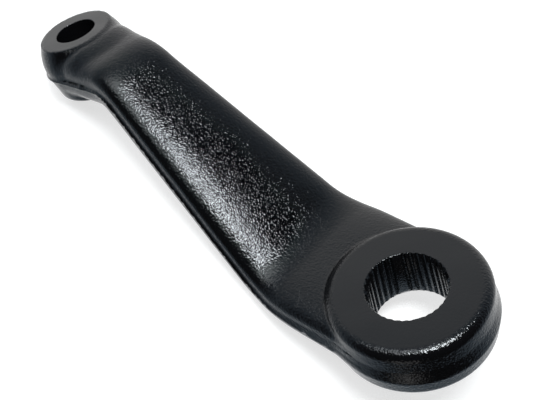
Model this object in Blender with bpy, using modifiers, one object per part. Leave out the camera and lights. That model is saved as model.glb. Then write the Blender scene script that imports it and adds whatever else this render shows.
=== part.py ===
"""A forged pitman arm: a splined hub, a cranked and tapering shank, and an eye with a tapered hole.

The arm is one piece. Its frame is the hub's: Z runs up the hub's axis from the face that
meets the steering box, and X points towards the eye. All sizes are in metres.
"""

import math

import bmesh
import bpy
from mathutils import Vector

NODE_NAME = "pitman_arm"

# Hub, turned about Z; upper and lower are measured from the forging's parting plane
HUB_UPPER = 0.0127
HUB_LOWER = 0.0123
HUB_WALL_RADIUS = 0.0315
HUB_FLASH_WIDTH = 0.0016
HUB_FLASH_RISE = 0.0022
HUB_TOP_ROUND = 0.0036
HUB_BOTTOM_ROUND = 0.0040

# Eye, turned about its own upright axis
EYE_UPPER = 0.0142
EYE_LOWER = 0.0138
EYE_TOP_RADIUS = 0.0179
EYE_TOP_EDGE = 0.0008
EYE_WALL_RADIUS = 0.0214
EYE_WALL_BOW = 0.0009
EYE_FLASH_WIDTH = 0.0007
EYE_FLASH_RISE = 0.0016
EYE_BOTTOM_ROUND = 0.0032

# Where the eye stands from the hub, and where the shank bends up to it
EYE_DISTANCE = 0.1783
CRANK_RISE = 0.0715
LOWER_BEND_FROM_HUB = 0.0565
UPPER_BEND_FROM_EYE = 0.0370
LOWER_BEND_RADIUS = 0.0350
UPPER_BEND_RADIUS = 0.0250

# Shank, from the hub's axis to the eye's
SHANK_INSET_AT_HUB = 0.0013
SHANK_HALF_WIDTH_AT_CRANK = 0.0334
SHANK_HALF_WIDTH_AT_NECK = 0.0183
SHANK_INSET_AT_EYE = 0.0006
CRANK_WIDTH_KNOT = 0.0445
NECK_WIDTH_KNOT = 0.0350
WIDTH_BLEND_REACH = 0.0100
CROWN_STEP_AT_HUB = 0.0040
CROWN_RISE_AT_CRANK = 0.0100
CROWN_STEP_AT_NECK = 0.0050
CROWN_STEP_AT_EYE = 0.0004
BELLY_STEP_AT_HUB = 0.0010
BELLY_STEP_AT_EYE = 0.0030
BELLY_DEPTH_AT_CRANK = 0.0100
SHANK_FLASH_WIDTH = 0.0012
SHANK_FLASH_RISE = 0.0014
CROWN_SQUARENESS_AT_HUB = 4.6
CROWN_SQUARENESS_AT_NECK = 3.4
CROWN_SQUARENESS_AT_EYE = 2.0
BELLY_SQUARENESS = 3.6
NECK_VALLEY_REACH = 0.0090
NECK_VALLEY_RISE = 0.0012

# Lower die: the trimmed ledge under the flash, and the draft of the walls below it
LOWER_LEDGE = 0.0010
DRAFT = math.radians(12.0)

# Splined bore, tapering towards the hub's top; four teeth are two pitches wide, and all
# teeth are chamfered at both mouths
SPLINE_ROOT_RADIUS = 0.0160
SPLINE_DEPTH = 0.0012
SPLINE_TAPER = 0.0010
SPLINE_POSITIONS = 36
WIDE_TEETH = 4
WIDE_TOOTH_ANGLE = math.radians(-38.0)
ROOT_SHARE = 0.20
TIP_SHARE = 0.30
MOUTH_CHAMFER = 0.0009

# Tapered hole for the drag link's stud
HOLE_TOP_RADIUS = 0.00964
HOLE_TAPER = 1.0 / 16.0

# Fineness of the solids
HUB_STEPS = 96
EYE_STEPS = 72
ROUND_STEPS = 5
CROWN_POINTS = 11
BELLY_POINTS = 7
HUB_RUN_STEPS = 12
BEND_STEPS = 8
STRAIGHT_STEPS = 10
EYE_RUN_STEPS = 26
SHARP_ANGLE = math.radians(30.0)
CUT_MARGIN = 0.0040
MERGE_DISTANCE = 0.00001

HUB_HEIGHT = HUB_LOWER + HUB_UPPER
EYE_PARTING = HUB_LOWER + CRANK_RISE
EYE_BOTTOM = EYE_PARTING - EYE_LOWER
EYE_TOP = EYE_PARTING + EYE_UPPER
HUB_FLASH_RADIUS = HUB_WALL_RADIUS + HUB_FLASH_WIDTH
EYE_FLASH_RADIUS = EYE_WALL_RADIUS + EYE_FLASH_WIDTH


def clear_scene():
    """Remove everything that the file opened with."""
    for item in list(bpy.data.objects):
        bpy.data.objects.remove(item, do_unlink=True)


def make_collection(name):
    """Add an empty collection to the scene."""
    collection = bpy.data.collections.new(name)
    bpy.context.scene.collection.children.link(collection)
    return collection


def make_object(name, mesh, collection):
    """Put a mesh in a collection as a smooth-shaded object."""
    mesh.shade_smooth()
    mesh.set_sharp_from_angle(angle=SHARP_ANGLE)
    item = bpy.data.objects.new(name, mesh)
    collection.objects.link(item)
    return item


def hide_construction(item):
    """Mark an object as one that only shapes the arm."""
    item.hide_render = True
    item.display_type = "WIRE"


def black_paint():
    """Semi-gloss black paint over the forging."""
    material = bpy.data.materials.new("black_paint")
    material.use_nodes = True
    shader = material.node_tree.nodes["Principled BSDF"]
    shader.inputs["Base Color"].default_value = (0.020, 0.021, 0.022, 1.0)
    shader.inputs["Roughness"].default_value = 0.35
    shader.inputs["Metallic"].default_value = 0.0
    return material


def arc(centre, radius, start, end, steps):
    """Points of a circular arc in the profile plane, ends included."""
    points = []
    for step in range(steps + 1):
        angle = start + (end - start) * step / steps
        points.append((centre[0] + radius * math.cos(angle), centre[1] + radius * math.sin(angle)))
    return points


def bowed(start, end, bow):
    """Points from start to end along a shallow curve that stands out by bow at its middle."""
    length = math.hypot(end[0] - start[0], end[1] - start[1])
    outward = ((start[1] - end[1]) / length, (end[0] - start[0]) / length)
    points = []
    for step in range(ROUND_STEPS + 1):
        share = step / ROUND_STEPS
        offset = 4.0 * bow * share * (1.0 - share)
        along = (start[0] + (end[0] - start[0]) * share, start[1] + (end[1] - start[1]) * share)
        points.append((along[0] + outward[0] * offset, along[1] + outward[1] * offset))
    return points


def turned(name, profile, steps, collection, centre=(0.0, 0.0)):
    """Turn a profile of (radius, height) points, top to bottom, about an upright axis."""
    mesh = bpy.data.meshes.new(name)
    points = [(radius, 0.0, height) for radius, height in profile]
    edges = [(index, index + 1) for index in range(len(points) - 1)]
    mesh.from_pydata(points, edges, [])
    item = make_object(name, mesh, collection)
    item.location = (centre[0], centre[1], 0.0)
    screw = item.modifiers.new("turn", "SCREW")
    screw.axis = "Z"
    screw.steps = steps
    screw.render_steps = steps
    screw.use_merge_vertices = True
    screw.merge_threshold = MERGE_DISTANCE
    return item


def hub_profile():
    """Outside of the hub: flat face, large round, wall, trimmed flash, drafted wall, round."""
    foot = HUB_LOWER + HUB_FLASH_RISE
    lower_start = HUB_FLASH_RADIUS - LOWER_LEDGE
    lower_wall = lower_start - (HUB_LOWER - HUB_BOTTOM_ROUND) * math.tan(DRAFT)
    top_centre = (HUB_WALL_RADIUS - HUB_TOP_ROUND, HUB_HEIGHT - HUB_TOP_ROUND)
    bottom_centre = (lower_wall - HUB_BOTTOM_ROUND, HUB_BOTTOM_ROUND)
    profile = [(0.0, HUB_HEIGHT)]
    profile += arc(top_centre, HUB_TOP_ROUND, math.radians(90.0), 0.0, ROUND_STEPS)
    profile += [(HUB_WALL_RADIUS, foot), (HUB_FLASH_RADIUS, HUB_LOWER)]
    profile += [(lower_start, HUB_LOWER - LOWER_LEDGE)]
    profile += arc(bottom_centre, HUB_BOTTOM_ROUND, 0.0, math.radians(-90.0), ROUND_STEPS)
    profile += [(0.0, 0.0)]
    return profile


def eye_profile():
    """Outside of the eye: a crisp top edge over a wall that leans out to the flash."""
    foot = EYE_PARTING + EYE_FLASH_RISE
    lower_start = EYE_FLASH_RADIUS - LOWER_LEDGE
    lower_wall = lower_start - (EYE_LOWER - EYE_BOTTOM_ROUND) * math.tan(DRAFT)
    bottom_centre = (lower_wall - EYE_BOTTOM_ROUND, EYE_BOTTOM + EYE_BOTTOM_ROUND)
    profile = [(0.0, EYE_TOP), (EYE_TOP_RADIUS - EYE_TOP_EDGE, EYE_TOP)]
    profile += bowed((EYE_TOP_RADIUS, EYE_TOP - EYE_TOP_EDGE), (EYE_WALL_RADIUS, foot), EYE_WALL_BOW)
    profile += [(EYE_FLASH_RADIUS, EYE_PARTING), (lower_start, EYE_PARTING - LOWER_LEDGE)]
    profile += arc(bottom_centre, EYE_BOTTOM_ROUND, 0.0, math.radians(-90.0), ROUND_STEPS)
    profile += [(0.0, EYE_BOTTOM)]
    return profile


def blended(knots, reach):
    """A function through straight runs between knots, with each inner knot rounded off."""

    def slope(index):
        first, second = knots[index], knots[index + 1]
        return (second[1] - first[1]) / (second[0] - first[0])

    def value(place):
        run = 0
        while run < len(knots) - 2 and place > knots[run + 1][0]:
            run += 1
        height = knots[run][1] + slope(run) * (place - knots[run][0])
        for index in range(1, len(knots) - 1):
            off = abs(place - knots[index][0])
            if off < reach:
                turn = slope(index) - slope(index - 1)
                height += turn * (reach - off) ** 2 / (4.0 * reach)
        return height

    return value


def straight_run(first, last, angle, steps):
    """Evenly spaced stations from first up to, not including, last."""
    stations = []
    for step in range(steps):
        share = step / steps
        x = first[0] + (last[0] - first[0]) * share
        z = first[1] + (last[1] - first[1]) * share
        stations.append((x, z, angle))
    return stations


def crank_path():
    """Stations along the shank's parting line: (x, z, slope angle), from hub axis to eye axis."""
    upper_bend = EYE_DISTANCE - UPPER_BEND_FROM_EYE
    angle = math.atan2(CRANK_RISE, upper_bend - LOWER_BEND_FROM_HUB)
    lower_reach = LOWER_BEND_RADIUS * math.tan(angle / 2.0)
    upper_reach = UPPER_BEND_RADIUS * math.tan(angle / 2.0)
    lower_start = LOWER_BEND_FROM_HUB - lower_reach
    rise = math.sin(angle)
    go = math.cos(angle)
    lower_end = (LOWER_BEND_FROM_HUB + lower_reach * go, HUB_LOWER + lower_reach * rise)
    upper_start = (upper_bend - upper_reach * go, EYE_PARTING - upper_reach * rise)
    upper_end = upper_bend + upper_reach
    stations = straight_run((0.0, HUB_LOWER), (lower_start, HUB_LOWER), 0.0, HUB_RUN_STEPS)
    for step in range(BEND_STEPS):
        turn = angle * step / BEND_STEPS
        x = lower_start + LOWER_BEND_RADIUS * math.sin(turn)
        z = HUB_LOWER + LOWER_BEND_RADIUS * (1.0 - math.cos(turn))
        stations.append((x, z, turn))
    stations += straight_run(lower_end, upper_start, angle, STRAIGHT_STEPS)
    for step in range(BEND_STEPS):
        turn = angle * (1.0 - step / BEND_STEPS)
        x = upper_end - UPPER_BEND_RADIUS * math.sin(turn)
        z = EYE_PARTING - UPPER_BEND_RADIUS * (1.0 - math.cos(turn))
        stations.append((x, z, turn))
    stations += straight_run((upper_end, EYE_PARTING), (EYE_DISTANCE, EYE_PARTING), 0.0, EYE_RUN_STEPS)
    stations.append((EYE_DISTANCE, EYE_PARTING, 0.0))
    return stations


def super_arc(width, height, squareness, count):
    """Quarter of a squared-off ellipse from its side to its middle, the side point left out."""
    points = []
    for step in range(1, count + 1):
        angle = math.radians(90.0) * step / count
        across = width * math.cos(angle) ** (2.0 / squareness) if step < count else 0.0
        points.append((across, height * math.sin(angle) ** (2.0 / squareness)))
    return points


def section(half_width, crown, belly, squareness):
    """Ring of (across, up) points: flash edge, crowned top, flash edge, flatter underside."""
    foot = half_width - SHANK_FLASH_WIDTH
    top = [(foot, SHANK_FLASH_RISE)]
    for across, up in super_arc(foot, crown - SHANK_FLASH_RISE, squareness, CROWN_POINTS):
        top.append((across, up + SHANK_FLASH_RISE))
    under_width = half_width - LOWER_LEDGE
    under = [(under_width, -LOWER_LEDGE)]
    for across, down in super_arc(under_width, belly - LOWER_LEDGE, BELLY_SQUARENESS, BELLY_POINTS):
        under.append((across, -down - LOWER_LEDGE))
    right = [(half_width, 0.0)] + top
    left = [(-across, up) for across, up in reversed(top[:-1])] + [(-half_width, 0.0)]
    below = [(-across, up) for across, up in under] + list(reversed(under[:-1]))
    return right + left + below


def neck_lift(point):
    """How far the shank's top sweeps up to the front of the eye, which ends the valley there."""
    before = EYE_DISTANCE - point.x
    away = max(0.0, math.hypot(before, point.y) - EYE_TOP_RADIUS)
    if away >= NECK_VALLEY_REACH:
        return 0.0
    front = max(0.0, min(1.0, before / EYE_TOP_RADIUS))
    return NECK_VALLEY_RISE * front * (1.0 - away / NECK_VALLEY_REACH) ** 2


def shank_mesh():
    """Loft the sections along the crank and close both ends, which lie inside hub and eye."""
    upper_bend = EYE_DISTANCE - UPPER_BEND_FROM_EYE
    width_knots = [
        (0.0, HUB_FLASH_RADIUS - SHANK_INSET_AT_HUB),
        (CRANK_WIDTH_KNOT, SHANK_HALF_WIDTH_AT_CRANK),
        (EYE_DISTANCE - NECK_WIDTH_KNOT, SHANK_HALF_WIDTH_AT_NECK),
        (EYE_DISTANCE, EYE_FLASH_RADIUS - SHANK_INSET_AT_EYE),
    ]
    crown_knots = [
        (0.0, HUB_UPPER - CROWN_STEP_AT_HUB),
        (LOWER_BEND_FROM_HUB, CROWN_RISE_AT_CRANK),
        (upper_bend, EYE_UPPER - CROWN_STEP_AT_NECK),
        (EYE_DISTANCE, EYE_UPPER - CROWN_STEP_AT_EYE),
    ]
    belly_knots = [
        (0.0, HUB_LOWER - BELLY_STEP_AT_HUB),
        (LOWER_BEND_FROM_HUB, BELLY_DEPTH_AT_CRANK),
        (upper_bend, EYE_LOWER - BELLY_STEP_AT_EYE),
        (EYE_DISTANCE, EYE_LOWER - BELLY_STEP_AT_EYE),
    ]
    squareness_knots = [
        (0.0, CROWN_SQUARENESS_AT_HUB),
        (LOWER_BEND_FROM_HUB, CROWN_SQUARENESS_AT_NECK),
        (EYE_DISTANCE - EYE_FLASH_RADIUS, CROWN_SQUARENESS_AT_NECK),
        (EYE_DISTANCE, CROWN_SQUARENESS_AT_EYE),
    ]
    half_width = blended(width_knots, WIDTH_BLEND_REACH)
    squareness = blended(squareness_knots, WIDTH_BLEND_REACH)
    crown = blended(crown_knots, WIDTH_BLEND_REACH)
    belly = blended(belly_knots, WIDTH_BLEND_REACH)
    build = bmesh.new()
    rings = []
    for x, z, angle in crank_path():
        ring = []
        for across, up in section(half_width(x), crown(x), belly(x), squareness(x)):
            point = Vector((x - up * math.sin(angle), across, z + up * math.cos(angle)))
            if up > 0.0:
                point.z += neck_lift(point)
            ring.append(build.verts.new(point))
        rings.append(ring)
    for near, far in zip(rings[:-1], rings[1:]):
        for index in range(len(near)):
            other = (index + 1) % len(near)
            build.faces.new((near[index], near[other], far[other], far[index]))
    build.faces.new(list(reversed(rings[0])))
    build.faces.new(rings[-1])
    bmesh.ops.recalc_face_normals(build, faces=build.faces[:])
    mesh = bpy.data.meshes.new("shank")
    build.to_mesh(mesh)
    build.free()
    return mesh


def spline_ring(root_radius, depth):
    """Outline of the splined bore: grooves one pitch apart, four of them left out."""
    pitch = math.tau / SPLINE_POSITIONS
    tip_radius = root_radius - depth
    skipped = SPLINE_POSITIONS // WIDE_TEETH
    points = []
    for position in range(SPLINE_POSITIONS):
        if position % skipped == 0:
            continue
        middle = WIDE_TOOTH_ANGLE + position * pitch
        flank = pitch * (1.0 - TIP_SHARE) / 2.0
        root = pitch * ROOT_SHARE / 2.0
        groove = [(-flank, tip_radius), (-root, root_radius), (root, root_radius), (flank, tip_radius)]
        for turn, radius in groove:
            points.append((radius * math.cos(middle + turn), radius * math.sin(middle + turn)))
        if (position + 1) % skipped == 0:
            wide = middle + pitch
            points.append((tip_radius * math.cos(wide), tip_radius * math.sin(wide)))
    return points


def spline_cutter(collection):
    """A tapering splined plug, a little longer than the hub at both ends."""
    slope = SPLINE_TAPER / HUB_HEIGHT
    mouth_depth = SPLINE_DEPTH - MOUTH_CHAMFER
    stations = [
        (-CUT_MARGIN, mouth_depth),
        (0.0, mouth_depth),
        (MOUTH_CHAMFER, SPLINE_DEPTH),
        (HUB_HEIGHT - MOUTH_CHAMFER, SPLINE_DEPTH),
        (HUB_HEIGHT, mouth_depth),
        (HUB_HEIGHT + CUT_MARGIN, mouth_depth),
    ]
    build = bmesh.new()
    rings = []
    for height, depth in stations:
        outline = spline_ring(SPLINE_ROOT_RADIUS + slope * (HUB_HEIGHT - height), depth)
        rings.append([build.verts.new((x, y, height)) for x, y in outline])
    for lower, upper in zip(rings[:-1], rings[1:]):
        for index in range(len(lower)):
            other = (index + 1) % len(lower)
            build.faces.new((lower[index], lower[other], upper[other], upper[index]))
    build.faces.new(list(reversed(rings[0])))
    build.faces.new(rings[-1])
    mesh = bpy.data.meshes.new("spline_cutter")
    build.to_mesh(mesh)
    build.free()
    return make_object("spline_cutter", mesh, collection)


def hole_cutter(collection):
    """A plain taper, a little longer than the eye at both ends, wide end up."""
    low = EYE_BOTTOM - CUT_MARGIN
    high = EYE_TOP + CUT_MARGIN
    radius_low = HOLE_TOP_RADIUS - HOLE_TAPER * (EYE_TOP - low)
    radius_high = HOLE_TOP_RADIUS + HOLE_TAPER * CUT_MARGIN
    profile = [(0.0, high), (radius_high, high), (radius_low, low), (0.0, low)]
    return turned("hole_cutter", profile, EYE_STEPS, collection, (EYE_DISTANCE, 0.0))


def combine(target, other, operation):
    """Join another solid to the target, or cut it away, and hide the other."""
    boolean = target.modifiers.new(other.name, "BOOLEAN")
    boolean.operation = operation
    boolean.solver = "EXACT"
    boolean.object = other
    hide_construction(other)


def settle(item):
    """Replace an object's modifiers with the mesh they make, with its creases marked sharp."""
    bpy.context.view_layer.update()
    evaluated = item.evaluated_get(bpy.context.evaluated_depsgraph_get())
    mesh = bpy.data.meshes.new_from_object(evaluated)
    mesh.name = item.name
    item.modifiers.clear()
    item.data = mesh
    mesh.shade_smooth()
    mesh.set_sharp_from_angle(angle=SHARP_ANGLE)
    weighted = item.modifiers.new("flat faces stay flat", "WEIGHTED_NORMAL")
    weighted.keep_sharp = True


def build_arm():
    """Forge the arm from its hub, shank and eye, then cut the two bores."""
    clear_scene()
    arm_collection = make_collection("pitman_arm")
    construction = make_collection("construction")
    arm = turned(NODE_NAME, hub_profile(), HUB_STEPS, arm_collection)
    arm.data.materials.append(black_paint())
    shank = make_object("shank", shank_mesh(), construction)
    eye = turned("eye", eye_profile(), EYE_STEPS, construction, (EYE_DISTANCE, 0.0))
    combine(arm, shank, "UNION")
    combine(arm, eye, "UNION")
    combine(arm, spline_cutter(construction), "DIFFERENCE")
    combine(arm, hole_cutter(construction), "DIFFERENCE")
    settle(arm)


build_arm()
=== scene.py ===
"""Looks for a forged pitman arm: the painted forging, a white table, soft light and the camera.

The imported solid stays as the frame. One finer piece replaces it: the same forging with blended
fillets, rounded edges, a trimmed flash line and the slight waves of a forged skin.
"""

import math

import bpy
import numpy as np
from mathutils import Euler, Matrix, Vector, noise


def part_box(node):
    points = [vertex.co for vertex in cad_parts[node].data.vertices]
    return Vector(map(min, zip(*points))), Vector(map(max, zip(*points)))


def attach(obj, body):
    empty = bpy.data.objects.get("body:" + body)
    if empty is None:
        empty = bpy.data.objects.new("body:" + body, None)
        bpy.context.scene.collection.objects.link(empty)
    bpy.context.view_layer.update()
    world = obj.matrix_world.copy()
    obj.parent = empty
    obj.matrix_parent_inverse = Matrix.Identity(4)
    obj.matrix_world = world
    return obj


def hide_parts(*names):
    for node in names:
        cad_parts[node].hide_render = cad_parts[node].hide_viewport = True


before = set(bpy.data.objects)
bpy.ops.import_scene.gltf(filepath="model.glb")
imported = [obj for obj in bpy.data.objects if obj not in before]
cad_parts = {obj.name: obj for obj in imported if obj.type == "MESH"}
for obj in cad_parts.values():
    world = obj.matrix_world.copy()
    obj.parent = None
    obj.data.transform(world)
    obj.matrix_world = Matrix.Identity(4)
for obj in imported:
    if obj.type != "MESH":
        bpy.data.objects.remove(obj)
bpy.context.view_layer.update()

NODE = "pitman_arm"
BODY = "root"

# Hub, in metres as all lengths are
HUB_UPPER = 0.0127
HUB_LOWER = 0.0123
HUB_WALL_RADIUS = 0.0315
HUB_FLASH_WIDTH = 0.0016
HUB_FLASH_RISE = 0.0032
HUB_TOP_ROUND = 0.0036
HUB_BOTTOM_ROUND = 0.0040
HUB_WALL_LEAN = math.radians(3.0)
HUB_LIP_WIDTH = 0.0011
HUB_LIP_DROP = 0.0023

# Eye
EYE_UPPER = 0.0142
EYE_LOWER = 0.0138
EYE_TOP_RADIUS = 0.0179
EYE_TOP_EDGE = 0.0009
EYE_SOFT_EDGE = 0.0016
EYE_WALL_RADIUS = 0.0214
EYE_WALL_BOW = 0.0009
EYE_FLASH_WIDTH = 0.0007
EYE_FLASH_RISE = 0.0016
EYE_BOTTOM_ROUND = 0.0032
EYE_LIP_WIDTH = 0.0009
EYE_LIP_RISE = 0.0013

# Crank of the shank
EYE_DISTANCE = 0.1783
CRANK_RISE = 0.0715
LOWER_BEND_FROM_HUB = 0.0565
UPPER_BEND_FROM_EYE = 0.0370
LOWER_BEND_RADIUS = 0.0350
UPPER_BEND_RADIUS = 0.0170

# Section of the shank
SHANK_INSET_AT_HUB = 0.0013
SHANK_HALF_WIDTH_AT_CRANK = 0.0334
SHANK_HALF_WIDTH_AT_NECK = 0.0183
SHANK_INSET_AT_EYE = 0.0006
CRANK_WIDTH_KNOT = 0.0445
NECK_WIDTH_KNOT = 0.0350
WIDTH_BLEND_REACH = 0.0100
CROWN_STEP_AT_HUB = 0.0040
CROWN_RISE_AT_CRANK = 0.0100
CROWN_STEP_AT_NECK = 0.0044
CROWN_STEP_AT_EYE = 0.0004
BELLY_STEP_AT_HUB = 0.0010
BELLY_STEP_AT_EYE = 0.0030
BELLY_DEPTH_AT_CRANK = 0.0100
SHANK_FLASH_WIDTH = 0.0012
SHANK_FLASH_RISE = 0.0014
CROWN_SQUARENESS_AT_HUB = 4.6
CROWN_SQUARENESS_AT_NECK = 3.4
CROWN_SQUARENESS_AT_EYE = 2.0
BELLY_SQUARENESS = 3.6
NECK_VALLEY_REACH = 0.0110
NECK_VALLEY_RISE = 0.0017
LOWER_LEDGE = 0.0005
DRAFT = math.radians(9.0)

# Reach over which the lip's size at the hub and at the eye blends into the shank's
LIP_REACH = 0.0240

# Fillets that the plain solid leaves out, and what is left of a fillet beside the eye
HUB_FILLET = 0.0014
EYE_FILLET = 0.0012
HUB_UNDER_FILLET = 0.0020
EYE_UNDER_FILLET = 0.0045
HUB_OUTLINE_FILLET = 0.0012
EYE_OUTLINE_FILLET = 0.0100
FILLET_REST = 0.0002

# Splined bore and tapered hole
SPLINE_ROOT_RADIUS = 0.0160
SPLINE_DEPTH = 0.0012
SPLINE_TAPER = 0.0010
SPLINE_POSITIONS = 36
WIDE_TEETH = 4
WIDE_TOOTH_ANGLE = math.radians(-38.0)
WIDE_TOOTH_TURNS = (-0.5, -0.25, 0.0, 0.25, 0.5)
ROOT_SHARE = 0.20
TIP_SHARE = 0.30
MOUTH_CHAMFER = 0.0011
MOUTH_CHAMFER_LENGTH = 0.0024
HOLE_TOP_RADIUS = 0.00964
HOLE_TAPER = 1.0 / 16.0
HOLE_STEPS = 128
MOUTH_BREAK = 0.00025
CUT_MARGIN = 0.0040

# Fineness of the skin, and its waves
CELL = 0.00085
GRID_MARGIN = 0.0030
BISECTIONS = 8
GRADIENT_STEP = 0.00005
CORNER_PULL = 0.04
WAVE_HEIGHT = 0.00007
WAVE_LENGTH = 0.0130
SHARP_ANGLE = math.radians(38.0)

# Added to what is divided by, against zeros
TINY = 1e-9
TINY_SLOPE = 1e-12

# Paint, and the orange peel in it
PAINT_COLOUR = (0.003, 0.003, 0.0035, 1.0)
PAINT_ROUGHNESS = 0.12
PEEL_SCALE = 1300.0
PEEL_DETAIL = 1.0
PEEL_HEIGHT = 0.00021

# Machined top faces: how near their level and how level a spot must be, and the peel left there
FLAT_REACH = 0.0003
LEVEL_COSINE = 0.9990
FLAT_PEEL = 0.12

# Camera, fitted to the outlines of bore, hub and eye in the photograph
CAMERA_LENS = 48.360
CAMERA_SENSOR = 36.0
CAMERA_NEAR = 0.01
CAMERA_PLACE = (-0.128604, 0.116967, 0.235878)
CAMERA_TURN = (47.11118, 16.44615, -134.96293)

# Studio that the paint reflects, in degrees round the arm and up from its own level. Its tone
# goes by the cosine of the angle to the middle of the white backdrop.
BACKDROP_AZIMUTH = -42.0
BACKDROP_ELEVATION = -15.0
STUDIO_TONES = (
    (-0.20, (0.02, 0.02, 0.02, 1.0)),
    (-0.10, (0.25, 0.32, 0.40, 1.0)),
    (0.15, (0.27, 0.34, 0.40, 1.0)),
    (0.45, (0.80, 0.83, 0.86, 1.0)),
    (0.80, (1.0, 1.0, 1.0, 1.0)),
)

# White card low in the studio, between the cosines of its outer and its inner edge
CARD_AZIMUTH = 114.0
CARD_ELEVATION = -31.0
CARD_EDGE = (math.cos(math.radians(15.0)), math.cos(math.radians(9.0)))
CARD_TONE = 0.75

# Softboxes: name, azimuth, elevation, radius and radiance
SOFTBOXES = (
    ("key", 175.0, 58.0, 0.098, 33.0),
    ("overhead", 125.0, 76.5, 0.22, 2.8),
)
SOFTBOX_COLOUR = (0.90, 0.96, 1.0)
LAMP_DISTANCE = 0.60
ARM_MIDDLE = (0.085, 0.0, 0.05)

# Table top, through the points that carry the arm: (x, z) under the lower bend and the eye
TABLE_BEND = (0.0628, 0.0064)
TABLE_EYE = (0.1950, 0.0701)
TABLE_SHIFT = 0.05
TABLE_HALF = 0.45
TABLE_COLOUR = (0.52, 0.505, 0.49, 1.0)
TABLE_GLOW = 0.68

# Sizes that follow from the ones above
HUB_HEIGHT = HUB_LOWER + HUB_UPPER
EYE_PARTING = HUB_LOWER + CRANK_RISE
EYE_BOTTOM = EYE_PARTING - EYE_LOWER
EYE_TOP = EYE_PARTING + EYE_UPPER
HUB_FLASH_RADIUS = HUB_WALL_RADIUS + HUB_FLASH_WIDTH
EYE_FLASH_RADIUS = EYE_WALL_RADIUS + EYE_FLASH_WIDTH
UPPER_BEND = EYE_DISTANCE - UPPER_BEND_FROM_EYE


def blended(place, knots, reach):
    """Straight runs between knots, each inner knot rounded off over reach to either side."""
    slopes = []
    for first, second in zip(knots[:-1], knots[1:]):
        slopes.append((second[1] - first[1]) / (second[0] - first[0]))
    value = knots[0][1] + slopes[0] * (place - knots[0][0])
    for index in range(1, len(knots) - 1):
        off = place - knots[index][0]
        ramp = np.where(off > reach, off, np.clip(off + reach, 0.0, None) ** 2 / (4.0 * reach))
        value = value + (slopes[index] - slopes[index - 1]) * ramp
    return value


def smooth_share(place, start, end):
    """0 before start, 1 after end, and an even S between them."""
    share = np.clip((place - start) / (end - start), 0.0, 1.0)
    return share * share * (3.0 - 2.0 * share)


def filleted_union(first, second, radius):
    """Distance to two solids joined with a round fillet."""
    gap = np.hypot(np.clip(radius - first, 0.0, None), np.clip(radius - second, 0.0, None))
    return np.maximum(radius, np.minimum(first, second)) - gap


def rounded_corner(first, second, radius):
    """Distance to what two solids share, with a round edge."""
    gap = np.hypot(np.clip(first + radius, 0.0, None), np.clip(second + radius, 0.0, None))
    return np.minimum(-radius, np.maximum(first, second)) + gap


def crank_coordinates(x, z):
    """Station along the parting line below or above a point, and its height off that line."""
    angle = math.atan2(CRANK_RISE, UPPER_BEND - LOWER_BEND_FROM_HUB)
    rise = math.sin(angle)
    go = math.cos(angle)
    lower_reach = LOWER_BEND_RADIUS * math.tan(angle / 2.0)
    upper_reach = UPPER_BEND_RADIUS * math.tan(angle / 2.0)
    lower_start = LOWER_BEND_FROM_HUB - lower_reach
    upper_end = UPPER_BEND + upper_reach
    run_x = LOWER_BEND_FROM_HUB + lower_reach * go
    run_z = HUB_LOWER + lower_reach * rise
    crank_length = math.hypot(UPPER_BEND - LOWER_BEND_FROM_HUB, CRANK_RISE)
    run_length = crank_length - lower_reach - upper_reach
    along = (x - run_x) * go + (z - run_z) * rise
    station = run_x + along * go
    height = (z - run_z) * go - (x - run_x) * rise
    lower_x = x - lower_start
    lower_z = HUB_LOWER + LOWER_BEND_RADIUS - z
    in_lower = along < 0.0
    lower_turn = np.arctan2(lower_x, lower_z)
    station = np.where(in_lower, lower_start + LOWER_BEND_RADIUS * np.sin(lower_turn), station)
    height = np.where(in_lower, LOWER_BEND_RADIUS - np.hypot(lower_x, lower_z), height)
    upper_x = upper_end - x
    upper_z = z - EYE_PARTING + UPPER_BEND_RADIUS
    in_upper = along > run_length
    upper_turn = np.arctan2(upper_x, upper_z)
    station = np.where(in_upper, upper_end - UPPER_BEND_RADIUS * np.sin(upper_turn), station)
    height = np.where(in_upper, np.hypot(upper_x, upper_z) - UPPER_BEND_RADIUS, height)
    at_hub = x < lower_start
    station = np.where(at_hub, x, station)
    height = np.where(at_hub, z - HUB_LOWER, height)
    at_eye = x > upper_end
    station = np.where(at_eye, x, station)
    height = np.where(at_eye, z - EYE_PARTING, height)
    return station, height


def half_section(across, up, width, height, squareness):
    """Distance to one side of the shank's section, a squared-off half ellipse, straight below."""
    side = np.abs(across) / width
    rise = np.clip(up, 0.0, None) / height
    gauge = (side ** squareness + rise ** squareness) ** (1.0 / squareness) + TINY
    slope_side = (side / gauge) ** (squareness - 1.0) / width
    slope_up = (rise / gauge) ** (squareness - 1.0) / height
    return (gauge - 1.0) / (np.hypot(slope_side, slope_up) + TINY)


def shank_width(station):
    """Half of the shank's width across its flash."""
    knots = [
        (0.0, HUB_FLASH_RADIUS - SHANK_INSET_AT_HUB),
        (CRANK_WIDTH_KNOT, SHANK_HALF_WIDTH_AT_CRANK),
        (EYE_DISTANCE - NECK_WIDTH_KNOT, SHANK_HALF_WIDTH_AT_NECK),
        (EYE_DISTANCE, EYE_FLASH_RADIUS - SHANK_INSET_AT_EYE),
    ]
    return blended(station, knots, WIDTH_BLEND_REACH)


def along_shank(station, at_hub, at_crank, at_neck, at_eye):
    """A size that is given at the hub, at the two bends and at the eye."""
    knots = [
        (0.0, at_hub),
        (LOWER_BEND_FROM_HUB, at_crank),
        (UPPER_BEND, at_neck),
        (EYE_DISTANCE, at_eye),
    ]
    return blended(station, knots, WIDTH_BLEND_REACH)


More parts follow.
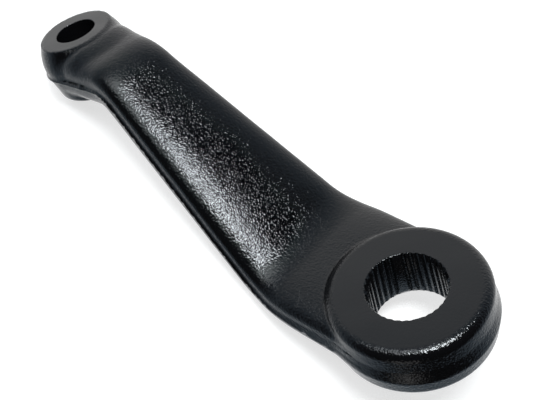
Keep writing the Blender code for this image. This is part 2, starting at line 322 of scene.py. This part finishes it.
def crown_squareness(station):
    """How squared-off the shank's crown is, down to a plain ellipse inside the eye."""
    knots = [
        (0.0, CROWN_SQUARENESS_AT_HUB),
        (LOWER_BEND_FROM_HUB, CROWN_SQUARENESS_AT_NECK),
        (EYE_DISTANCE - EYE_FLASH_RADIUS, CROWN_SQUARENESS_AT_NECK),
        (EYE_DISTANCE, CROWN_SQUARENESS_AT_EYE),
    ]
    return blended(station, knots, WIDTH_BLEND_REACH)


def eye_fillet(x, radius):
    """A fillet at the neck that dies away beside the eye, where shank and eye run together."""
    return radius * np.clip((EYE_DISTANCE - x) / EYE_FLASH_RADIUS, 0.0, 1.0) ** 2 + FILLET_REST


def neck_lift(x, y):
    """How far the shank's top sweeps up to the front of the eye, which ends the valley there."""
    before = EYE_DISTANCE - x
    away = np.hypot(before, y) - EYE_TOP_RADIUS
    away = np.clip(away, 0.0, NECK_VALLEY_REACH) / NECK_VALLEY_REACH
    front = np.clip(before / EYE_TOP_RADIUS, 0.0, 1.0)
    return NECK_VALLEY_RISE * front * (1.0 - away ** 2) ** 2


def ends_closed(distance, station):
    """The shank's distance, cut off at the axes of hub and eye, inside both."""
    return np.maximum(distance, np.maximum(-station, station - EYE_DISTANCE))


def upper_hub(points):
    """Distance to the hub above its flash, whose wall leans out from a rounded top."""
    x, y, z = points
    wall = HUB_WALL_RADIUS + (HUB_HEIGHT - z) * math.tan(HUB_WALL_LEAN)
    side = (np.hypot(x, y) - wall) * math.cos(HUB_WALL_LEAN)
    return rounded_corner(side, z - HUB_HEIGHT, HUB_TOP_ROUND)


def upper_eye(points):
    """Distance to the eye above its flash, with a bowed wall and an edge softer towards the arm."""
    x, y, z = points
    wall_top = EYE_TOP - EYE_TOP_EDGE
    wall_foot = EYE_PARTING + EYE_FLASH_RISE
    drop = np.clip((wall_top - z) / (wall_top - wall_foot), 0.0, 1.0)
    wall = EYE_TOP_RADIUS + (EYE_WALL_RADIUS - EYE_TOP_RADIUS) * drop
    wall = wall + 4.0 * EYE_WALL_BOW * drop * (1.0 - drop)
    lean = math.atan2(EYE_WALL_RADIUS - EYE_TOP_RADIUS, wall_top - wall_foot)
    side = (np.hypot(x - EYE_DISTANCE, y) - wall) * math.cos(lean)
    toward_arm = np.clip((EYE_DISTANCE - x) / EYE_TOP_RADIUS, 0.0, 1.0)
    return rounded_corner(side, z - EYE_TOP, EYE_TOP_EDGE + EYE_SOFT_EDGE * toward_arm ** 2)


def upper_half(points, station, height):
    """Distance to everything that the upper die forms, carried on below the parting line."""
    x, y, _ = points
    crown = along_shank(
        station,
        HUB_UPPER - CROWN_STEP_AT_HUB,
        CROWN_RISE_AT_CRANK,
        EYE_UPPER - CROWN_STEP_AT_NECK,
        EYE_UPPER - CROWN_STEP_AT_EYE,
    )
    foot = shank_width(station) - SHANK_FLASH_WIDTH
    up = height - SHANK_FLASH_RISE - neck_lift(x, y)
    shank = half_section(y, up, foot, crown - SHANK_FLASH_RISE, crown_squareness(station))
    shank = ends_closed(shank, station)
    joined = filleted_union(upper_hub(points), shank, HUB_FILLET)
    return filleted_union(joined, upper_eye(points), EYE_FILLET)


def drafted(radius, height, start_radius, bottom, bottom_round):
    """Distance to a round boss under the parting line, drawn in by the draft."""
    wall = start_radius + height * math.tan(DRAFT)
    return rounded_corner((radius - wall) * math.cos(DRAFT), bottom - height, bottom_round)


def lower_hub(points):
    """Distance to the hub below its flash: it starts flush at the lip, whose face clips it."""
    x, y, z = points
    radius = np.hypot(x, y)
    start = HUB_FLASH_RADIUS + HUB_LIP_DROP * math.tan(DRAFT)
    hub = drafted(radius, z - HUB_LOWER, start, -HUB_LOWER, HUB_BOTTOM_ROUND)
    lip_height = HUB_FLASH_RISE + HUB_LIP_DROP
    above_foot = z - HUB_LOWER + HUB_LIP_DROP
    face = (radius - HUB_FLASH_RADIUS) * lip_height + above_foot * HUB_LIP_WIDTH
    return np.maximum(hub, face / math.hypot(lip_height, HUB_LIP_WIDTH))


def lower_half(points, station, height):
    """Distance to everything that the lower die forms, carried on above the parting line."""
    x, y, z = points
    belly = along_shank(
        station,
        HUB_LOWER - BELLY_STEP_AT_HUB,
        BELLY_DEPTH_AT_CRANK,
        EYE_LOWER - BELLY_STEP_AT_EYE,
        EYE_LOWER - BELLY_STEP_AT_EYE,
    )
    width = shank_width(station) - LOWER_LEDGE
    shank = half_section(y, -height - LOWER_LEDGE, width, belly - LOWER_LEDGE, BELLY_SQUARENESS)
    shank = ends_closed(shank, station)
    eye_radius = np.hypot(x - EYE_DISTANCE, y)
    eye_start = EYE_FLASH_RADIUS - LOWER_LEDGE
    eye = drafted(eye_radius, z - EYE_PARTING, eye_start, -EYE_LOWER, EYE_BOTTOM_ROUND)
    joined = filleted_union(lower_hub(points), shank, HUB_UNDER_FILLET)
    joined = filleted_union(joined, eye, eye_fillet(x, EYE_UNDER_FILLET))
    return np.maximum(joined, -height - EYE_LOWER)


def flash_lip(points, station, height):
    """Distance to the trimmed lip along the parting line."""
    x, y, _ = points
    hub = np.hypot(x, y) - HUB_FLASH_RADIUS
    shank = ends_closed(np.abs(y) - shank_width(station), station)
    eye = np.hypot(x - EYE_DISTANCE, y) - EYE_FLASH_RADIUS
    outline = filleted_union(hub, shank, HUB_OUTLINE_FILLET)
    outline = filleted_union(outline, eye, eye_fillet(x, EYE_OUTLINE_FILLET))
    past_hub = smooth_share(station, 0.0, HUB_WALL_RADIUS + LIP_REACH)
    eye_front = EYE_DISTANCE - EYE_WALL_RADIUS
    near_eye = smooth_share(station, eye_front - LIP_REACH, eye_front)
    width = HUB_LIP_WIDTH + (SHANK_FLASH_WIDTH - HUB_LIP_WIDTH) * past_hub
    width = width + (EYE_LIP_WIDTH - width) * near_eye
    rise = HUB_FLASH_RISE + (SHANK_FLASH_RISE - HUB_FLASH_RISE) * past_hub
    rise = rise + (EYE_LIP_RISE - rise) * near_eye
    drop = HUB_LIP_DROP * (1.0 - past_hub)
    over = (outline * (rise + drop) + (height + drop) * width) / np.hypot(rise + drop, width)
    under = (outline - height - drop) / math.sqrt(2.0)
    slab = np.maximum(height - rise, -height - drop - LOWER_LEDGE)
    return np.maximum(np.maximum(over, under), slab)


def arm_distance(points):
    """Signed distance, near the skin, to the forging before its bores are cut."""
    station, height = crank_coordinates(points[0], points[2])
    upper = np.maximum(upper_half(points, station, height), -height)
    lower = np.maximum(lower_half(points, station, height), height)
    return np.minimum(np.minimum(upper, lower), flash_lip(points, station, height))


def sample_grid(distance, low, counts):
    """Distances at the corners of a grid of cells, slab by slab."""
    ys = low[1] + CELL * np.arange(counts[1])
    zs = low[2] + CELL * np.arange(counts[2])
    grid_y, grid_z = np.meshgrid(ys, zs, indexing="ij")
    values = np.empty(counts)
    for index in range(counts[0]):
        grid_x = np.full_like(grid_y, low[0] + CELL * index)
        values[index] = distance((grid_x, grid_y, grid_z))
    return values


def crossings(distance, low, starts, axis, start_inside):
    """Where the skin crosses grid edges, and its outward direction there."""
    origin = low + CELL * starts
    near = np.zeros(len(starts))
    far = np.full(len(starts), CELL)
    for _ in range(BISECTIONS):
        middle = (near + far) / 2.0
        probe = origin.copy()
        probe[:, axis] += middle
        inside = distance(tuple(probe.T)) < 0.0
        same = inside == start_inside
        near = np.where(same, middle, near)
        far = np.where(same, far, middle)
    places = origin.copy()
    places[:, axis] += (near + far) / 2.0
    normals = np.empty_like(places)
    for side in range(3):
        offset = np.zeros(3)
        offset[side] = GRADIENT_STEP
        ahead = distance(tuple((places + offset).T))
        behind = distance(tuple((places - offset).T))
        normals[:, side] = ahead - behind
    normals /= np.linalg.norm(normals, axis=1, keepdims=True) + TINY_SLOPE
    return places, normals


def fitted_corners(cells, owners, places, normals, low, counts):
    """One vertex in each cell, where the planes of the skin that cross the cell meet."""
    total = len(cells)
    tally = np.bincount(owners, minlength=total)
    sums = [np.bincount(owners, places[:, side], total) for side in range(3)]
    centre = np.stack([one_sum / tally for one_sum in sums], axis=1)
    relative = places - centre[owners]
    reach = np.einsum("ij,ij->i", normals, relative)
    matrix = np.empty((total, 3, 3))
    vector = np.empty((total, 3))
    for row in range(3):
        vector[:, row] = np.bincount(owners, normals[:, row] * reach, total)
        for column in range(3):
            products = normals[:, row] * normals[:, column]
            matrix[:, row, column] = np.bincount(owners, products, total)
        matrix[:, row, row] += CORNER_PULL * tally
    corners = centre + np.linalg.solve(matrix, vector[:, :, None])[:, :, 0]
    cell_low = low + CELL * np.stack(np.unravel_index(cells, counts), axis=1)
    return np.clip(corners, cell_low, cell_low + CELL)


def skin(distance, low, high):
    """Mesh the zero level of a distance by dual contouring, which keeps its edges crisp."""
    low = np.array(low)
    counts = tuple(np.ceil((np.array(high) - low) / CELL).astype(int) + 1)
    inside = sample_grid(distance, low, counts) < 0.0
    owners, places, normals, quads = [], [], [], []
    for axis in range(3):
        first = np.take(inside, range(counts[axis] - 1), axis)
        second = np.take(inside, range(1, counts[axis]), axis)
        starts = np.argwhere(first != second)
        start_inside = first[tuple(starts.T)]
        place, normal = crossings(distance, low, starts, axis, start_inside)
        ring = []
        for back, side in ((1, 1), (0, 1), (0, 0), (1, 0)):
            cell = starts.copy()
            cell[:, (axis + 1) % 3] -= back
            cell[:, (axis + 2) % 3] -= side
            ring.append(np.ravel_multi_index(tuple(cell.T), counts))
        quad = np.stack(ring, axis=1)
        quads.append(np.where(start_inside[:, None], quad, quad[:, ::-1]))
        owners.append(quad.ravel())
        places.append(np.repeat(place, 4, axis=0))
        normals.append(np.repeat(normal, 4, axis=0))
    cells, owner_index = np.unique(np.concatenate(owners), return_inverse=True)
    owner_index = owner_index.ravel()
    places = np.concatenate(places)
    normals = np.concatenate(normals)
    vertices = fitted_corners(cells, owner_index, places, normals, low, counts)
    faces = np.searchsorted(cells, np.concatenate(quads))
    return vertices, faces


def forged_mesh():
    """The forging's skin, with the slight waves of a forging, which only go inward from it."""
    low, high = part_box(NODE)
    margin = Vector((GRID_MARGIN,) * 3)
    vertices, faces = skin(arm_distance, low - margin, high + margin)
    mesh = bpy.data.meshes.new("forging")
    mesh.from_pydata(vertices.tolist(), [], faces.tolist())
    mesh.update()
    normals = np.empty(len(vertices) * 3)
    mesh.vertex_normals.foreach_get("vector", normals)
    waves = np.array([noise.noise(Vector(place) / WAVE_LENGTH) for place in vertices])
    shift = normals.reshape(-1, 3) * (WAVE_HEIGHT * (waves[:, None] - 1.0))
    mesh.vertices.foreach_set("co", (vertices + shift).ravel())
    mesh.update()
    return mesh


def spline_outline(root_radius, depth):
    """Outline of the splined bore: grooves one pitch apart, four of them left out."""
    pitch = math.tau / SPLINE_POSITIONS
    tip_radius = root_radius - depth
    skipped = SPLINE_POSITIONS // WIDE_TEETH
    points = []
    for position in range(SPLINE_POSITIONS):
        middle = WIDE_TOOTH_ANGLE + position * pitch
        if position % skipped == 0:
            for turn in WIDE_TOOTH_TURNS:
                points.append((tip_radius, middle + pitch * turn))
            continue
        flank = pitch * (1.0 - TIP_SHARE) / 2.0
        root = pitch * ROOT_SHARE / 2.0
        points.append((tip_radius, middle - flank))
        points.append((root_radius, middle - root))
        points.append((root_radius, middle + root))
        points.append((tip_radius, middle + flank))
    return [(radius * math.cos(turn), radius * math.sin(turn)) for radius, turn in points]


def circle_outline(radius):
    """Outline of the plain hole."""
    turns = [math.tau * step / HOLE_STEPS for step in range(HOLE_STEPS)]
    return [(EYE_DISTANCE + radius * math.cos(turn), radius * math.sin(turn)) for turn in turns]


def plug(name, rings):
    """A closed plug through (height, outline) rings, from the lowest to the highest."""
    vertices = []
    for height, outline in rings:
        vertices += [(x, y, height) for x, y in outline]
    count = len(rings[0][1])
    faces = [tuple(reversed(range(count)))]
    for base in range(0, count * (len(rings) - 1), count):
        for index in range(count):
            other = (index + 1) % count
            faces.append((base + index, base + other, base + other + count, base + index + count))
    faces.append(tuple(range((len(rings) - 1) * count, len(rings) * count)))
    mesh = bpy.data.meshes.new(name)
    mesh.from_pydata(vertices, [], faces)
    item = bpy.data.objects.new(name, mesh)
    bpy.context.scene.collection.objects.link(item)
    return item


def spline_plug():
    """Cutter for the splined bore, whose teeth are chamfered at both mouths."""
    slope = SPLINE_TAPER / HUB_HEIGHT
    mouth_depth = SPLINE_DEPTH - MOUTH_CHAMFER
    break_depth = MOUTH_BREAK * MOUTH_CHAMFER / MOUTH_CHAMFER_LENGTH
    stations = [
        (-CUT_MARGIN, CUT_MARGIN, mouth_depth),
        (0.0, MOUTH_BREAK, mouth_depth),
        (MOUTH_BREAK, 0.0, mouth_depth + break_depth),
        (MOUTH_CHAMFER_LENGTH, 0.0, SPLINE_DEPTH),
        (HUB_HEIGHT - MOUTH_CHAMFER_LENGTH, 0.0, SPLINE_DEPTH),
        (HUB_HEIGHT - MOUTH_BREAK, 0.0, mouth_depth + break_depth),
        (HUB_HEIGHT, MOUTH_BREAK, mouth_depth),
        (HUB_HEIGHT + CUT_MARGIN, CUT_MARGIN, mouth_depth),
    ]
    rings = []
    for height, flare, depth in stations:
        root_radius = SPLINE_ROOT_RADIUS + slope * (HUB_HEIGHT - height) + flare
        rings.append((height, spline_outline(root_radius, depth)))
    return plug("spline_cutter", rings)


def hole_plug():
    """Cutter for the tapered hole, with the edges of both mouths broken."""
    low_radius = HOLE_TOP_RADIUS - HOLE_TAPER * (EYE_TOP - EYE_BOTTOM)
    flare = CUT_MARGIN + MOUTH_BREAK
    stations = [
        (EYE_BOTTOM - CUT_MARGIN, low_radius + flare),
        (EYE_BOTTOM + MOUTH_BREAK, low_radius),
        (EYE_TOP - MOUTH_BREAK, HOLE_TOP_RADIUS),
        (EYE_TOP + CUT_MARGIN, HOLE_TOP_RADIUS + flare),
    ]
    return plug("hole_cutter", [(height, circle_outline(radius)) for height, radius in stations])


def cut_bores(mesh):
    """Cut the splined bore and the tapered hole out of the forging."""
    forging = bpy.data.objects.new("forging", mesh)
    bpy.context.scene.collection.objects.link(forging)
    cutters = [spline_plug(), hole_plug()]
    for cutter in cutters:
        cut = forging.modifiers.new(cutter.name, "BOOLEAN")
        cut.operation = "DIFFERENCE"
        cut.solver = "EXACT"
        cut.object = cutter
    bpy.context.view_layer.update()
    evaluated = forging.evaluated_get(bpy.context.evaluated_depsgraph_get())
    result = bpy.data.meshes.new_from_object(evaluated)
    for item in [forging] + cutters:
        bpy.data.objects.remove(item, do_unlink=True)
    return result


def math_node(tree, operation, *values):
    """Output of a math node, each of whose inputs is a number or another node's output."""
    node = tree.nodes.new("ShaderNodeMath")
    node.operation = operation
    for socket, value in zip(node.inputs, values):
        if isinstance(value, float):
            socket.default_value = value
        else:
            tree.links.new(value, socket)
    return node.outputs["Value"]


def machined_share(tree, place):
    """1 on the level top faces of hub and eye, and 0 elsewhere."""
    height = tree.nodes.new("ShaderNodeSeparateXYZ")
    facing = tree.nodes.new("ShaderNodeNewGeometry")
    tilt = tree.nodes.new("ShaderNodeSeparateXYZ")
    tree.links.new(place.outputs["Object"], height.inputs["Vector"])
    tree.links.new(facing.outputs["Normal"], tilt.inputs["Vector"])
    at_hub = math_node(tree, "COMPARE", height.outputs["Z"], HUB_HEIGHT, FLAT_REACH)
    at_eye = math_node(tree, "COMPARE", height.outputs["Z"], EYE_TOP, FLAT_REACH)
    level = math_node(tree, "GREATER_THAN", tilt.outputs["Z"], LEVEL_COSINE)
    return math_node(tree, "MULTIPLY", math_node(tree, "MAXIMUM", at_hub, at_eye), level)


def black_paint():
    """Semi-gloss black paint with an orange peel, smoother on the two machined top faces."""
    material = bpy.data.materials.new("black_paint")
    material.use_nodes = True
    nodes = material.node_tree.nodes
    links = material.node_tree.links
    shader = nodes["Principled BSDF"]
    shader.inputs["Base Color"].default_value = PAINT_COLOUR
    shader.inputs["Roughness"].default_value = PAINT_ROUGHNESS
    place = nodes.new("ShaderNodeTexCoord")
    peel = nodes.new("ShaderNodeTexNoise")
    peel.inputs["Scale"].default_value = PEEL_SCALE
    peel.inputs["Detail"].default_value = PEEL_DETAIL
    bump = nodes.new("ShaderNodeBump")
    bump.inputs["Distance"].default_value = PEEL_HEIGHT
    strength = nodes.new("ShaderNodeMapRange")
    strength.inputs["To Min"].default_value = 1.0
    strength.inputs["To Max"].default_value = FLAT_PEEL
    links.new(machined_share(material.node_tree, place), strength.inputs["Value"])
    links.new(strength.outputs["Result"], bump.inputs["Strength"])
    links.new(place.outputs["Object"], peel.inputs["Vector"])
    links.new(peel.outputs["Fac"], bump.inputs["Height"])
    links.new(bump.outputs["Normal"], shader.inputs["Normal"])
    return material


def add_arm():
    """The finished piece, in place of the plain solid."""
    mesh = cut_bores(forged_mesh())
    mesh.materials.clear()
    mesh.materials.append(black_paint())
    mesh.shade_smooth()
    mesh.set_sharp_from_angle(angle=SHARP_ANGLE)
    arm = bpy.data.objects.new("arm_forging", mesh)
    bpy.context.scene.collection.objects.link(arm)
    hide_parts(NODE)
    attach(arm, BODY)


def add_camera():
    """The photograph's viewpoint."""
    data = bpy.data.cameras.new("camera")
    data.lens = CAMERA_LENS
    data.sensor_width = CAMERA_SENSOR
    data.clip_start = CAMERA_NEAR
    camera = bpy.data.objects.new("camera", data)
    bpy.context.scene.collection.objects.link(camera)
    camera.location = CAMERA_PLACE
    camera.rotation_euler = Euler([math.radians(turn) for turn in CAMERA_TURN])
    bpy.context.scene.camera = camera


def toward(azimuth, elevation):
    """Unit vector to a place in the surroundings, both angles in degrees."""
    turn = math.radians(azimuth)
    climb = math.radians(elevation)
    level = math.cos(climb)
    return Vector((level * math.cos(turn), level * math.sin(turn), math.sin(climb)))


def facing_cosine(tree, place, azimuth, elevation):
    """Output with the cosine between the direction looked in and a place in the surroundings."""
    node = tree.nodes.new("ShaderNodeVectorMath")
    node.operation = "DOT_PRODUCT"
    node.inputs[1].default_value = toward(azimuth, elevation)
    tree.links.new(place.outputs["Generated"], node.inputs[0])
    return node.outputs["Value"]


def add_world():
    """White to the camera; to the paint a studio with a white backdrop, a dark front and a card."""
    world = bpy.data.worlds.new("surroundings")
    world.use_nodes = True
    nodes = world.node_tree.nodes
    links = world.node_tree.links
    place = nodes.new("ShaderNodeTexCoord")
    backdrop_cosine = facing_cosine(world.node_tree, place, BACKDROP_AZIMUTH, BACKDROP_ELEVATION)
    card_cosine = facing_cosine(world.node_tree, place, CARD_AZIMUTH, CARD_ELEVATION)
    share = nodes.new("ShaderNodeMapRange")
    share.inputs["From Min"].default_value = -1.0
    studio = nodes.new("ShaderNodeValToRGB")
    stops = studio.color_ramp.elements
    while len(stops) < len(STUDIO_TONES):
        stops.new(0.5)
    for stop, (turned, colour) in zip(stops, STUDIO_TONES):
        stop.position = (turned + 1.0) / 2.0
        stop.color = colour
    card = nodes.new("ShaderNodeMapRange")
    card.inputs["From Min"].default_value = CARD_EDGE[0]
    card.inputs["From Max"].default_value = CARD_EDGE[1]
    card.inputs["To Max"].default_value = CARD_TONE
    around = nodes.new("ShaderNodeMix")
    around.data_type = "RGBA"
    around.blend_type = "ADD"
    around.inputs["Factor"].default_value = 1.0
    seen = nodes.new("ShaderNodeMix")
    seen.data_type = "RGBA"
    seen.inputs["B"].default_value = (1.0, 1.0, 1.0, 1.0)
    rays = nodes.new("ShaderNodeLightPath")
    background = nodes["Background"]
    background.inputs["Strength"].default_value = 1.0
    links.new(backdrop_cosine, share.inputs["Value"])
    links.new(share.outputs["Result"], studio.inputs["Fac"])
    links.new(studio.outputs["Color"], around.inputs["A"])
    links.new(card_cosine, card.inputs["Value"])
    links.new(card.outputs["Result"], around.inputs["B"])
    links.new(around.outputs["Result"], seen.inputs["A"])
    links.new(rays.outputs["Is Camera Ray"], seen.inputs["Factor"])
    links.new(seen.outputs["Result"], background.inputs["Color"])
    bpy.context.scene.world = world


def add_softbox(name, azimuth, elevation, radius, radiance):
    """A round softbox that faces the middle of the arm; its power is pi by area by radiance."""
    data = bpy.data.lights.new(name, "AREA")
    data.shape = "DISK"
    data.size = 2.0 * radius
    data.energy = radiance * (math.pi * radius) ** 2
    data.color = SOFTBOX_COLOUR
    lamp = bpy.data.objects.new(name, data)
    bpy.context.scene.collection.objects.link(lamp)
    direction = toward(azimuth, elevation)
    lamp.location = Vector(ARM_MIDDLE) + direction * LAMP_DISTANCE
    lamp.rotation_euler = direction.to_track_quat("Z", "Y").to_euler()
    lamp.visible_camera = False


def white_table():
    """White to the camera apart from the arm's soft shadow, and clear from below."""
    material = bpy.data.materials.new("white_table")
    material.use_nodes = True
    nodes = material.node_tree.nodes
    links = material.node_tree.links
    nodes.remove(nodes["Principled BSDF"])
    surface = nodes.new("ShaderNodeBsdfDiffuse")
    surface.inputs["Color"].default_value = TABLE_COLOUR
    glow = nodes.new("ShaderNodeEmission")
    glow.inputs["Strength"].default_value = TABLE_GLOW
    dark = nodes.new("ShaderNodeEmission")
    dark.inputs["Strength"].default_value = 0.0
    rays = nodes.new("ShaderNodeLightPath")
    seen = nodes.new("ShaderNodeMixShader")
    lit = nodes.new("ShaderNodeAddShader")
    side = nodes.new("ShaderNodeNewGeometry")
    clear = nodes.new("ShaderNodeBsdfTransparent")
    sides = nodes.new("ShaderNodeMixShader")
    links.new(rays.outputs["Is Camera Ray"], seen.inputs["Fac"])
    links.new(dark.outputs["Emission"], seen.inputs[1])
    links.new(glow.outputs["Emission"], seen.inputs[2])
    links.new(surface.outputs["BSDF"], lit.inputs[0])
    links.new(seen.outputs["Shader"], lit.inputs[1])
    links.new(side.outputs["Backfacing"], sides.inputs["Fac"])
    links.new(lit.outputs["Shader"], sides.inputs[1])
    links.new(clear.outputs["BSDF"], sides.inputs[2])
    links.new(sides.outputs["Shader"], nodes["Material Output"].inputs["Surface"])
    return material


def add_table():
    """The white top that the arm lies on, touched by its lower bend and by its eye."""
    along = Vector((TABLE_EYE[0] - TABLE_BEND[0], 0.0, TABLE_EYE[1] - TABLE_BEND[1])).normalized()
    middle = Vector((TABLE_BEND[0], 0.0, TABLE_BEND[1])) + along * TABLE_SHIFT
    corners = []
    for step, side in ((-1, -1), (1, -1), (1, 1), (-1, 1)):
        corners.append(middle + along * TABLE_HALF * step + Vector((0.0, TABLE_HALF * side, 0.0)))
    mesh = bpy.data.meshes.new("table")
    mesh.from_pydata(corners, [], [(0, 1, 2, 3)])
    mesh.materials.append(white_table())
    table = bpy.data.objects.new("table", mesh)
    bpy.context.scene.collection.objects.link(table)
    table.visible_glossy = False


add_arm()
add_camera()
add_world()
for softbox in SOFTBOXES:
    add_softbox(*softbox)
add_table()
bpy.context.scene.view_settings.view_transform = "Standard"
